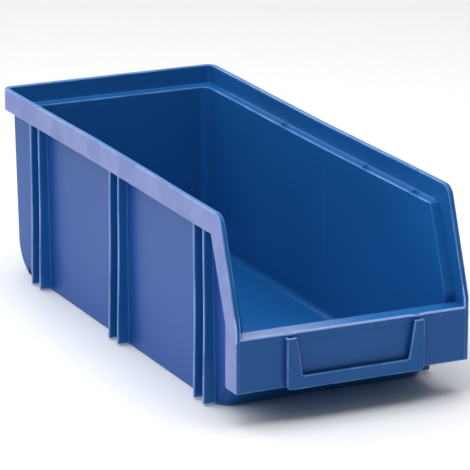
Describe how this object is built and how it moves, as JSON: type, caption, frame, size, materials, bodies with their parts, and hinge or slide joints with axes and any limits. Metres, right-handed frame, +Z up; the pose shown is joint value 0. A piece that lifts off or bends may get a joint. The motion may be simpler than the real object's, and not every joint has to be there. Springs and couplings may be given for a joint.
{
  "type": "stackable storage bin",
  "caption": "Open-front stackable storage bin of blue moulded plastic, with a rim band and inner ledge for stacking, side ribs and a label holder.",
  "frame": {"origin": "the middle of the bounding box's underside, on the surface that the base rests on", "axes": "+Z up, +Y from the open mouth towards the rear wall, +X to the right of someone facing the mouth"},
  "size_m": [0.15, 0.3536, 0.121],
  "materials": {
    "polypropylene": "satin-gloss moulded polypropylene, blue"
  },
  "bodies": {
    "root": {"floor_panel": "polypropylene", "rear_heel": "polypropylene", "rear_wall": "polypropylene", "left_side_wall": "polypropylene", "right_side_wall": "polypropylene", "left_rear_corner": "polypropylene", "right_rear_corner": "polypropylene", "left_rim_band": "polypropylene", "right_rim_band": "polypropylene", "left_rim_corner": "polypropylene", "right_rim_corner": "polypropylene", "left_stacking_ledge": "polypropylene", "right_stacking_ledge": "polypropylene", "left_mouth_edge_slope": "polypropylene", "right_mouth_edge_slope": "polypropylene", "left_mouth_edge_foot": "polypropylene", "right_mouth_edge_foot": "polypropylene", "left_slope_web": "polypropylene", "right_slope_web": "polypropylene", "left_foot_web": "polypropylene", "right_foot_web": "polypropylene", "left_front_panel": "polypropylene", "right_front_panel": "polypropylene", "left_label_post": "polypropylene", "right_label_post": "polypropylene", "left_rib_1": "polypropylene", "right_rib_1": "polypropylene", "left_rib_2": "polypropylene", "right_rib_2": "polypropylene", "left_rib_3": "polypropylene", "right_rib_3": "polypropylene", "left_rib_4": "polypropylene", "right_rib_4": "polypropylene", "left_rib_5": "polypropylene", "right_rib_5": "polypropylene", "left_rib_6": "polypropylene", "right_rib_6": "polypropylene", "front_inner_wall": "polypropylene", "rear_rim_band": "polypropylene", "rear_stacking_ledge": "polypropylene", "front_lip": "polypropylene", "label_panel": "polypropylene", "label_bar": "polypropylene"}
  },
  "joints": []
}
